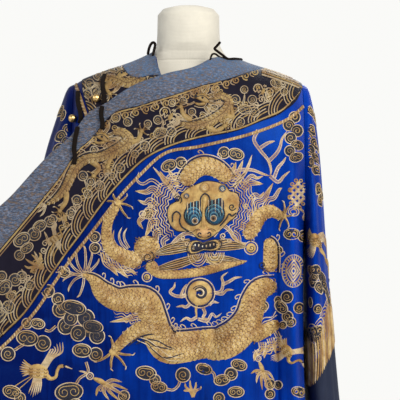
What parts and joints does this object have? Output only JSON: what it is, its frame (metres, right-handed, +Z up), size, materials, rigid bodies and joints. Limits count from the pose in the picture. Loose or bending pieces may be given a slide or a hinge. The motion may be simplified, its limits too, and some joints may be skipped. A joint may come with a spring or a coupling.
{
  "type": "chinese dragon robe on a dress form",
  "caption": "Long side-fastening robe with wide front overlap, dark border and hanging sleeves, open at neck, hem and cuffs, on a limbless dress form with pole and round base.",
  "frame": {"origin": "centre of the underside of the stand's round base, on the floor", "axes": "+Z up; the robe's front faces -Y, so the wearer's left is +X"},
  "size_m": [0.872, 0.4784, 1.601],
  "materials": {
    "blue_satin": "royal blue silk satin with couched gold thread",
    "dark_satin": "near-black silk satin with couched gold thread",
    "grey_blue_trim": "faded grey-blue figured silk",
    "navy_sleeve": "plain navy silk",
    "form_cloth": "cream jersey cover",
    "form_metal": "satin",
    "black_cord": "twisted cord",
    "gilt_ball": "gilt, worn"
  },
  "bodies": {
    "root": {"form_torso": "form_cloth", "form_pole": "form_metal", "form_collar": "form_metal", "form_base": "form_metal", "robe_overlap_front": "blue_satin", "robe_under_front": "blue_satin", "robe_back": "blue_satin", "trim_front": "grey_blue_trim", "trim_under": "grey_blue_trim", "trim_back": "grey_blue_trim", "border_front": "dark_satin", "border_under": "dark_satin", "border_back": "dark_satin", "sleeve_left_upper": "blue_satin", "sleeve_left_lower": "navy_sleeve", "sleeve_right_upper": "blue_satin", "sleeve_right_lower": "navy_sleeve", "strap_shoulder_button": "black_cord", "strap_shoulder_loop": "black_cord", "strap_arm_button": "black_cord", "strap_arm_loop": "black_cord", "button_shoulder": "gilt_ball", "button_arm": "gilt_ball", "neck_loop_right": "black_cord", "neck_loop_left": "black_cord"}
  },
  "joints": []
}
